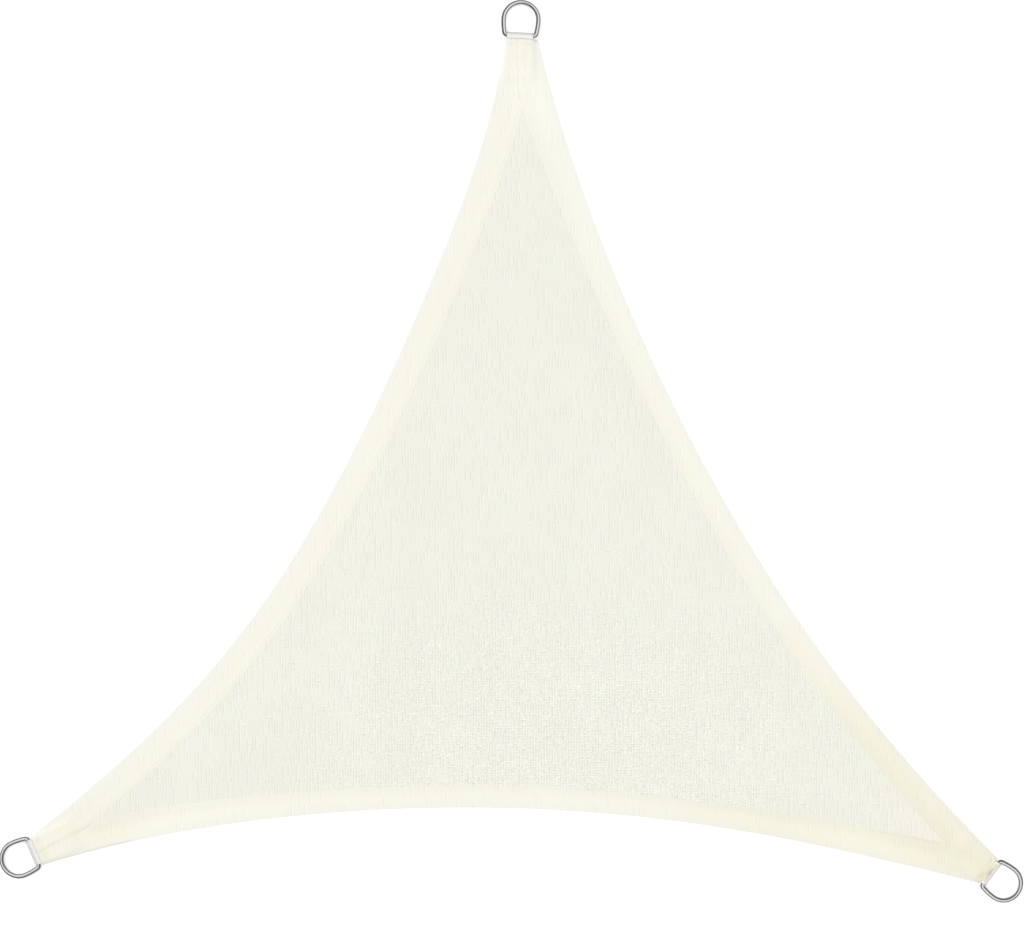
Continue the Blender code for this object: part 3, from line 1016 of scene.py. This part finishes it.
def collar(corner):
    points, faces = [], []
    for k in range(COLLAR_SIDES):
        angle = 2 * math.pi * k / COLLAR_SIDES
        rim = RIM_MIDDLE + RIM_SWING * math.cos(angle - COLLAR_HIGHEST)
        turned = angle + math.radians(corner.ring_heading)
        x = corner.eye_x + COLLAR_RADIUS * math.cos(turned)
        y = corner.eye_y + COLLAR_RADIUS * math.sin(turned)
        points += [(x, y, 0), (x, y, COLLAR_RADIUS * math.tan(rim))]
        low, after = 2 * k, 2 * ((k + 1) % COLLAR_SIDES)
        faces.append((low, after, after + 1, low + 1))
    faces.append([2 * k for k in range(COLLAR_SIDES)])
    made = new_mesh_object(f"collar_{corner.name}", points, faces)
    cover([made], black_card)
    cover([made], grey_card)
    made.data.polygons[-1].material_index = 1
    for ray in ("camera", "diffuse", "shadow", "transmission"):
        setattr(made, f"visible_{ray}", False)


for corner in CORNERS:
    collar(corner)
print("cards stand round", len(CORNERS), "rings")

# %% [markdown]
# ## The colour of the cloth
#
# The tint differs from place to place over the cloth. Here the right corner is darker and warmer,
# the fold of each hem is paler than its inside, and the right hem's upper part is nearly white.
# Painted light makes parts of the hems and the panel below the top corner a little lighter, and
# painted shade darkens the cloth beside two of the loops. The differences are soft, so ovals say
# where they lie, as for the swells. Only three are thin: the painted shade and the painted light
# beside the bottom hem's seam, near the right corner, and the painted shade along its fold, near
# the left one. They are lines along the hem. Each point of the cloth keeps the result as a tint. A
# picture painted over the whole sail could hold it too, but it would need far more numbers and
# would tie the colours to one size of sail.

# %% Tints of the cloth
Tone = namedtuple("Tone", "x y heading half_length half_width amount")
WARM_TONES = [
    Tone(0.62, -0.700, -12.0, 0.620, 0.110, 0.56),
    Tone(0.76, -0.650, -47.0, 0.400, 0.110, 0.66),
    Tone(0.60, -0.470, -48.0, 0.260, 0.090, 0.33),
    Tone(0.850, -0.749, 54.0, 0.040, 0.016, 0.45),
    Tone(-0.78, -0.690, 25.0, 0.170, 0.090, 0.30),
    Tone(-0.62, -0.600, 40.0, 0.250, 0.045, 0.20),
    Tone(0.018, 0.735, 90.0, 0.045, 0.045, 0.25),
]
PALE_TONES = [
    Tone(0.110, 0.480, -69.0, 0.460, 0.080, 0.90),
    Tone(0.300, 0.120, -62.0, 0.300, 0.080, 0.55),
]
# Painted light and painted shade on the hems, all three colours alike.
PAINTED_LIGHT_AND_SHADE = [  # more or less light on the hems, all three colours alike
    Tone(0.640, -0.695, -12.0, 0.240, 0.060, 0.028),
    Tone(-0.580, -0.655, 11.0, 0.260, 0.060, 0.018),
    Tone(0.040, 0.630, -70.0, 0.130, 0.060, 0.034),
    Tone(0.016, 0.668, 90.0, 0.045, 0.035, 0.016),
    # Painted shade beside the left loop, and at the mouth of the right corner.
    Tone(-0.846, -0.716, 112.0, 0.036, 0.015, -0.050),
    Tone(0.8593, -0.7567, 53.0, 0.034, 0.0068, -0.13),
    Tone(0.8600, -0.7573, 53.0, 0.014, 0.0055, -0.20),
    Tone(0.8445, -0.7650, 53.0, 0.015, 0.0080, -0.09),
]
# Painted light on the panel below the top corner.
PANEL_PAINTED_LIGHT = [Tone(0.018, 0.588, 90.0, 0.060, 0.025, 0.022)]
PINK_TONES = [Tone(0.730, -0.665, -28.0, 0.160, 0.060, 1.0)]
PINK = np.array((0.030, 0.004, -0.008))  # what a full pink tone adds to the panel
WARM = np.array((0.050, 0.064, 0.140))  # how much less red, green and blue a full warm tone has
PALE = np.array((0.008, 0.018, 0.042))  # how much more a full pale tone has
WARM_MOST = 1.3
FOLD_PALE = np.array((-0.018, -0.008, 0.042))  # a fold is bluer, down to this far inside it
FOLD_FADE = 0.022
# The painted shade along the inside of a hem, painted light on the left one, and the depths where
# it begins and is full.
INNER_SHADE = {"left": -0.016, "bottom": 0.042, "right": 0.024}
INNER_FROM = {"left": 0.036, "bottom": 0.022, "right": 0.018}
INNER_TO = {"left": 0.047, "bottom": 0.041, "right": 0.046}
SHADE_FADE = 0.03  # past the panel's tips the shade fades over this much of t

# Fine lines of painted shade and painted light along a hem, between two rows of its points, from
# one t to another.
Line = namedtuple("Line", "edge first_row last_row t_from t_to amount")
FINE_LINES = [
    Line("bottom", -3, -2, 0.87, 0.955, -0.034),
    Line("bottom", -1, -1, 0.87, 0.955, 0.015),
    Line("bottom", 0, 6, 0.005, 0.10, -0.090),
]
LINE_FADE = 0.01

# How open the knit is: its ribs show more the higher this is.
WEAVE_HEM = 0.10
OPEN_HEM = Tone(0.018, 0.690, 90.0, 0.120, 0.045, 0.30)  # the ribs show more at the top corner
WEAVE_TOP = 0.40
WEAVE_MIDDLE = 0.15  # how much more open the knit lies below the top third
TOP_ENDS = (-0.45, -0.10)  # where that begins and where it is full, as minus y
OPEN_KNIT = Tone(0.09, -0.53, 0.0, 0.78, 0.44, 0.44)


def tones(points, table):
    return sum(tone.amount * spot(points, *tone[:5]) for tone in table)[:, None]


def soft_stretch(t, rise, fall):
    """1 from the end of the rise to the start of the fall, and 0 before and after them."""
    return (smooth_step(*rise, t) * (1 - smooth_step(*fall, t)))[:, None]


def fine_lines(edge, t, row_count):
    light = np.zeros((len(t), row_count))
    for line in FINE_LINES:
        if line.edge == edge.name:
            rise, fall = (line.t_from, line.t_from + LINE_FADE), (line.t_to - LINE_FADE, line.t_to)
            rows = np.arange(line.first_row, line.last_row + 1)
            light[:, rows] += line.amount * soft_stretch(t, rise, fall)
    return light.reshape(-1, 1)


def hem_tint(edge, points):
    """The tint of a hem's points, given as one array of sections across the hem."""
    flat = points.reshape(-1, 2)
    t = flap_t(edge)
    depth = np.linalg.norm(points - edge_points(edge, t)[:, None], axis=2)
    first, last = HEM_RANGE[edge.name]
    beside_panel = soft_stretch(t, (first - SHADE_FADE, first), (last, last + SHADE_FADE))
    inner = smooth_step(INNER_FROM[edge.name], INNER_TO[edge.name], depth) * beside_panel
    depth, shade = depth.reshape(-1, 1), INNER_SHADE[edge.name] * inner.reshape(-1, 1)
    fold = 1 - smooth_step(0, FOLD_FADE, depth)
    warm = np.clip(tones(flat, WARM_TONES), 0, WARM_MOST)
    light = tones(flat, PAINTED_LIGHT_AND_SHADE) + fine_lines(edge, t, points.shape[1]) - shade
    return 1 - warm * WARM + tones(flat, PALE_TONES) * PALE + fold * FOLD_PALE + light


def points_of(piece):
    points = np.zeros((len(piece.data.vertices), 3))
    piece.data.vertices.foreach_get("co", points.ravel())
    return points


for edge in EDGES:
    hem = HEMS[edge.name]
    sections = points_of(hem)[:, :2].reshape(len(flap_t(edge)), -1, 2)
    keep_tint(hem, hem_tint(edge, sections))
    paint(hem, "weave", WEAVE_HEM + tones(sections.reshape(-1, 2), [OPEN_HEM]))
keep_tint(sail, 1 + tones(flat_list, PINK_TONES) * PINK + tones(flat_list, PANEL_PAINTED_LIGHT))
below_top = smooth_step(*TOP_ENDS, -flat_list[:, 1:])
paint(sail, "weave", WEAVE_TOP + WEAVE_MIDDLE * below_top + tones(flat_list, [OPEN_KNIT]))
print("tinted:", ", ".join(piece.name for piece in (sail, *HEMS.values())))

# %% [markdown]
# ## The knit
#
# The cloth is knitted from ivory tape and thread: upright chains of loops, about 5 mm apart, with
# tape laid to and fro between them. From a step away this shows as fine upright ribs, with painted
# light on their crests and painted shade between them. Here and there a rib stands out as a dash,
# with painted shade on its left and painted light on its right. Low on the sail the knit is
# stretched open. There the tapes across it show as short ties too, with painted shade and light in
# the same way, and every crossing is a small knot, a little lighter or darker than the next.
#
# A photograph of cloth could be wrapped round the mesh, but it would repeat and blur. Instead the
# pattern is worked out from each point's place on the flat cloth, which every piece carries in
# its map. Rows come from rounding that place to whole ribs or courses, dashes from noise that is
# different in each row, and knots from one random number for each small cell. A number on each
# point, the weave, says how open the knit is there.
#
# The ivory itself is a little greener in some patches and pinker in others. One layer of cloth is
# painted greyer, as painted shade for the dark below that shows through it. A hem has two layers
# and looks whiter and smoother.

# %% Small helpers for materials
def add_node(tree, kind, **settings):
    made = tree.nodes.new(kind)
    for name, value in settings.items():
        setattr(made, name, value)
    return made


def feed(tree, source, target):
    """Sets an input to a number, or links it to another node's output."""
    if isinstance(source, bpy.types.NodeSocket):
        tree.links.new(source, target)
    else:
        target.default_value = source


def maths(tree, operation, *values):
    made = add_node(tree, "ShaderNodeMath", operation=operation)
    for value, target in zip(values, made.inputs):
        feed(tree, value, target)
    return made.outputs[0]


def times(tree, first, second):
    return maths(tree, "MULTIPLY", first, second)


def total(tree, *terms):
    """The sum of (value, weight) pairs."""
    result = 0.0
    for value, weight in terms:
        result = maths(tree, "MULTIPLY_ADD", value, weight, result)
    return result


def combined(tree, x, y):
    made = add_node(tree, "ShaderNodeCombineXYZ")
    feed(tree, x, made.inputs["X"])
    feed(tree, y, made.inputs["Y"])
    return made.outputs[0]


def noise_at(tree, place, detail):
    made = add_node(tree, "ShaderNodeTexNoise")
    tree.links.new(place, made.inputs["Vector"])
    made.inputs["Scale"].default_value = 1.0
    made.inputs["Detail"].default_value = detail
    return made.outputs["Fac"]


def stretched_noise(tree, places, across, along, detail=2.0):
    """Noise whose blots are so many metres wide and long."""
    scaled = add_node(tree, "ShaderNodeMapping")
    tree.links.new(places, scaled.inputs["Vector"])
    scaled.inputs["Scale"].default_value = (1 / across, 1 / along, 1 / across)
    return noise_at(tree, scaled.outputs["Vector"], detail)


def between(tree, value, low, high):
    """0 below low, 1 above high, and a smooth ramp between."""
    made = add_node(tree, "ShaderNodeMapRange", interpolation_type="SMOOTHSTEP")
    tree.links.new(value, made.inputs["Value"])
    made.inputs["From Min"].default_value = low
    made.inputs["From Max"].default_value = high
    return made.outputs["Result"]


def blend_colours(tree, share, first, second, blend="MIX"):
    made = add_node(tree, "ShaderNodeMix", data_type="RGBA", blend_type=blend)
    feed(tree, share, made.inputs["Factor"])
    for name, colour in (("A", first), ("B", second)):
        linked = isinstance(colour, bpy.types.NodeSocket)
        feed(tree, colour if linked else (*colour, 1), made.inputs[name])
    return made.outputs["Result"]


def raise_surface(tree, shader, height, distance):
    bump = add_node(tree, "ShaderNodeBump")
    tree.links.new(height, bump.inputs["Height"])
    bump.inputs["Distance"].default_value = distance
    tree.links.new(bump.outputs["Normal"], shader.inputs["Normal"])


Places = namedtuple("Places", "flat across along")


def cloth_places(tree):
    """Where a point lies on the flat stuff: the whole place, and its two parts."""
    flat = add_node(tree, "ShaderNodeUVMap", uv_map="cloth").outputs["UV"]
    parts = add_node(tree, "ShaderNodeSeparateXYZ")
    tree.links.new(flat, parts.inputs[0])
    return Places(flat, parts.outputs["X"], parts.outputs["Y"])


def tint_and_finish(tree, shader, colour):
    """Gives the shader a colour, multiplied by the tint that the mesh's points carry."""
    tint = add_node(tree, "ShaderNodeAttribute", attribute_name="tint").outputs["Color"]
    tinted = blend_colours(tree, 1.0, colour, tint, "MULTIPLY")
    tree.links.new(tinted, shader.inputs["Base Color"])


# %% Rows of the knit that show
Rows = namedtuple("Rows", "start step")
RIBS = Rows(float(column_x[0]), 2 * float(column_x[1] - column_x[0]))
COURSES = Rows(0.0, 0.0047)
ROW_JUMP = 3.7  # how far apart neighbouring rows lie in the noise, so that they don't match
DASHES_FROM = 0.56
DASHES_TO = 0.65


def row_number(tree, place, rows):
    shift = 0.5 - rows.start / rows.step
    return maths(tree, "FLOOR", total(tree, (place, 1 / rows.step), (shift, 1.0)))


def row_wave(tree, place, rows, operation):
    """A wave over the rows: COSINE is 1 on each crest, SINE is -1 before it and 1 after, which the knit's
    tone turns into painted shade and painted light.
    """
    turn = total(tree, (place, 2 * math.pi / rows.step), (-2 * math.pi * rows.start / rows.step, 1.0))
    return maths(tree, operation, turn)


def dashes(tree, place, rows, along, length, plenty):
    """Stretches of each row that stand out, more of them where plenty is high."""
    row = row_number(tree, place, rows)
    on_row = combined(tree, times(tree, row, ROW_JUMP), times(tree, along, 1 / length))
    share = total(tree, (noise_at(tree, on_row, 0.0), 1.0), (plenty, 1.0))
    stretches = between(tree, share, DASHES_FROM, DASHES_TO)
    return times(tree, stretches, row_wave(tree, place, rows, "SINE"))


print(f"ribs every {RIBS.step * 1000:.2f} mm, courses every {COURSES.step * 1000:.2f} mm")

# %% Patches and knots
Patches = namedtuple("Patches", "across along low high")
OPENER = Patches(0.050, 0.050, 0.35, 0.65)
KNOTTED = Patches(0.014, 0.012, 0.34, 0.56)
PINKER = Patches(0.045, 0.045, 0.38, 0.62)
KNOT_COLUMNS = Rows(RIBS.start, RIBS.step / 3)
KNOT_ROWS = Rows(COURSES.start, COURSES.step / 3)
KNOTS_FROM = 0.45  # the weave where knots begin to show
KNOTS_FULL = 0.95  # and where they show in full


def patches(tree, places, kind):
    """Patches of noise: 1 inside them, 0 between them, and a soft rim."""
    noisy = stretched_noise(tree, places.flat, kind.across, kind.along)
    return between(tree, noisy, kind.low, kind.high)


def knots(tree, places, weave):
    """One number for each small cell of the knit, from -1 to 1, where the knit is open."""
    column = row_number(tree, places.across, KNOT_COLUMNS)
    cell = combined(tree, column, row_number(tree, places.along, KNOT_ROWS))
    random = add_node(tree, "ShaderNodeTexWhiteNoise", noise_dimensions="2D")
    tree.links.new(cell, random.inputs["Vector"])
    level = total(tree, (random.outputs["Value"], 2.0), (-1.0, 1.0))
    openness = between(tree, weave, KNOTS_FROM, KNOTS_FULL)
    return times(tree, level, times(tree, openness, patches(tree, places, KNOTTED)))


# %% Ivory knit, in one layer and in two
KNIT_ROUGHNESS = 0.80
KNIT_SHINE = 0.2
DASH_LENGTH = 0.030
TIE_LENGTH = 0.009
SPECK_SIZE = 0.0024
GRAIN_SIZE = (0.0011, 0.0035)
CLOUD_SIZE = (0.110, 0.160)

# How many dashes show: their share of the weave, their share of the patches, and what is added.
Plenty = namedtuple("Plenty", "weave patches added")
LADDER_PLENTY = Plenty(0.20, 0.06, -0.095)
TIE_PLENTY = Plenty(0.46, 0.08, -0.45)

# What each part of the knit adds to its height, and to its tone between dark and bright.
RELIEF = {"rib": 0.4, "course": 0.1, "ladder": 0.6, "ties": 0.3, "specks": 0.5, "grain": 0.5}
KNIT_RELIEF = 0.0003
# Painted shade on one side of each dash and painted light on the other.
DASH_SHADE_AND_LIGHT = 0.24
FINE_TONE = 0.30
# Painted light on the ribs' crests and painted shade in their valleys.
RIB_SHADE_AND_LIGHT = 0.02
CLOUD_TONE = 0.12
MIDDLE_TONE = 0.44
KNOT_TONE = 0.115
GREENISH = (0.9925, 1.0035, 0.996)
PINKISH = (1.0045, 0.9945, 0.998)


def knit_parts(tree, places, weave):
    """Everything that the knit is drawn from, by name."""
    opener = patches(tree, places, OPENER)
    ladder_plenty, tie_plenty = (
        total(tree, (weave, plenty.weave), (opener, plenty.patches), (plenty.added, 1.0))
        for plenty in (LADDER_PLENTY, TIE_PLENTY)
    )
    across, along = places.across, places.along
    return {
        "rib": row_wave(tree, across, RIBS, "COSINE"),
        "course": row_wave(tree, along, COURSES, "COSINE"),
        "ladder": dashes(tree, across, RIBS, along, DASH_LENGTH, ladder_plenty),
        "ties": dashes(tree, along, COURSES, across, TIE_LENGTH, tie_plenty),
        "specks": stretched_noise(tree, places.flat, SPECK_SIZE, SPECK_SIZE, 0.0),
        "grain": stretched_noise(tree, places.flat, *GRAIN_SIZE, 1.0),
    }


def knit(name, bright, dark):
    made, tree, shader = new_material(name, KNIT_ROUGHNESS)
    shader.inputs["Specular IOR Level"].default_value = KNIT_SHINE
    places = cloth_places(tree)
    weave = add_node(tree, "ShaderNodeAttribute", attribute_name="weave").outputs["Fac"]
    parts = knit_parts(tree, places, weave)
    height = total(tree, *((parts[part], share) for part, share in RELIEF.items()))
    raise_surface(tree, shader, height, KNIT_RELIEF)

    specks, grain = parts["specks"], parts["grain"]
    fine = total(tree, (specks, FINE_TONE), (grain, FINE_TONE), (-FINE_TONE, 1.0), (parts["rib"], RIB_SHADE_AND_LIGHT))
    clouds = stretched_noise(tree, places.flat, *CLOUD_SIZE, 3.0)
    lines = ((parts["ladder"], DASH_SHADE_AND_LIGHT), (parts["ties"], DASH_SHADE_AND_LIGHT))
    tone = total(tree, *lines, (times(tree, fine, weave), 1.0), (clouds, CLOUD_TONE), (MIDDLE_TONE, 1.0))
    cloth = blend_colours(tree, tone, dark, bright)
    knotted = total(tree, (knots(tree, places, weave), KNOT_TONE), (1.0, 1.0))
    hue = blend_colours(tree, patches(tree, places, PINKER), GREENISH, PINKISH)
    coloured = blend_colours(tree, 1.0, cloth, knotted, "MULTIPLY")
    tint_and_finish(tree, shader, blend_colours(tree, 1.0, coloured, hue, "MULTIPLY"))
    return made


# The single layer's colours are darker and greyer: painted shade for the dark below it.
ONE_BRIGHT, ONE_DARK = (0.897, 0.891, 0.817), (0.637, 0.631, 0.557)
TWO_BRIGHT, TWO_DARK = (0.914, 0.899, 0.804), (0.714, 0.699, 0.604)
cover([sail], knit("ivory_knit_one_layer", ONE_BRIGHT, ONE_DARK))
cover(HEMS.values(), knit("ivory_knit_two_layers", TWO_BRIGHT, TWO_DARK))

# %% [markdown]
# ## Thread, webbing and steel
#
# The thread is the cloth's own ivory, a little shinier, with the twist of its strands in the bump.
# Only the bars and the row near the right corner's cut end are painted a darker olive, as painted
# shade in and between their dense stitches.
#
# The webbing is whiter and cooler than the cloth. Its weave is a fine check of warp and weft on top
# of the ridges in the mesh. The steel is polished wire: a mirror with fine lines along it, left by
# the drawing die, and a few dull clouds.

# %% Thread
THREAD_ROUGHNESS = 0.5
TWIST_PITCH = 0.0009
TWIST_RELIEF = 0.0002


def thread(name, dark, light):
    made, tree, shader = new_material(name, THREAD_ROUGHNESS)
    places = add_node(tree, "ShaderNodeTexCoord").outputs["Object"]
    twist = stretched_noise(tree, places, TWIST_PITCH, TWIST_PITCH)
    colour = blend_colours(tree, twist, dark, light)
    tree.links.new(colour, shader.inputs["Base Color"])
    raise_surface(tree, shader, twist, TWIST_RELIEF)
    return made


ivory_thread = thread("ivory_thread", (0.79, 0.77, 0.68), (0.90, 0.88, 0.80))
# Darker olive thread: painted shade on the dense stitches at the right corner.
olive_painted_shade_thread = thread("olive_painted_shade_thread", (0.68, 0.67, 0.50), (0.84, 0.82, 0.64))
cover((*SEAMS.values(), *TAIL_SEAMS.values()), ivory_thread)
for name, seam in CORNER_SEAMS.items():
    cover([seam], olive_painted_shade_thread if name == "right" else ivory_thread)

# %% Woven webbing
WEBBING_ROUGHNESS = 0.62
CORD_PITCH = WEBBING_WIDTH / CORDS
WEFT_PITCH = 0.0013
FLUFF_SIZE = (0.004, 0.010)
WEAVE_RELIEF = 0.00015
CHECK_TONE = 0.25
WEBBING_DARK, WEBBING_BRIGHT = (0.82, 0.805, 0.79), (0.95, 0.935, 0.915)


def woven():
    made, tree, shader = new_material("white_webbing_weave", WEBBING_ROUGHNESS)
    places = cloth_places(tree)
    warp = maths(tree, "SINE", times(tree, places.across, 2 * math.pi / CORD_PITCH))
    weft = maths(tree, "SINE", times(tree, places.along, 2 * math.pi / WEFT_PITCH))
    check = times(tree, warp, weft)
    fluff = stretched_noise(tree, places.flat, *FLUFF_SIZE)
    raise_surface(tree, shader, total(tree, (check, 1.0), (fluff, 1.0)), WEAVE_RELIEF)
    tone = total(tree, (check, CHECK_TONE), (fluff, 1.0))
    tint_and_finish(tree, shader, blend_colours(tree, tone, WEBBING_DARK, WEBBING_BRIGHT))
    return made


cover(LOOPS.values(), woven())

# %% Polished steel wire
DULL_SIZE = 0.006
DIE_LINE_SIZE = (0.0005, 0.004)
DIE_LINE_RELIEF = 0.00002
STEEL_DARK, STEEL_BRIGHT = (0.66, 0.66, 0.67), (0.84, 0.84, 0.84)
STEEL_ROUGHNESS = 0.15  # where the clouds can't be drawn
CLEAREST = 0.08
DULLNESS = 0.12  # what the dullest cloud adds to the roughness of the clearest steel


def steel():
    made, tree, shader = new_material("polished_steel", STEEL_ROUGHNESS, 1.0)
    places = add_node(tree, "ShaderNodeTexCoord").outputs["Object"]
    clouds = stretched_noise(tree, places, DULL_SIZE, DULL_SIZE, 3.0)
    colour = blend_colours(tree, clouds, STEEL_DARK, STEEL_BRIGHT)
    tree.links.new(colour, shader.inputs["Base Color"])
    roughness = total(tree, (clouds, DULLNESS), (CLEAREST, 1.0))
    tree.links.new(roughness, shader.inputs["Roughness"])
    raise_surface(tree, shader, stretched_noise(tree, places, *DIE_LINE_SIZE), DIE_LINE_RELIEF)
    return made


cover(RINGS.values(), steel())
print("materials:", ", ".join(m.name for m in bpy.data.materials if m.users))

# %% [markdown]
# ## Putting it on the frame
#
# Nothing on this sail moves on its own, so every piece rides on the one body. Each fine piece
# stands for the plain solid in its place.

cloth_pieces = [*HEMS.values(), *SEAMS.values(), *CORNER_SEAMS.values(), *TAIL_SEAMS.values()]
for piece in (sail, *cloth_pieces, *LOOPS.values(), *RINGS.values()):
    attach(piece, "root")
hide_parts("sail_cloth")
for name in BY_NAME:
    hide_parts(f"webbing_{name}")
    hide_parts(f"ring_{name}")
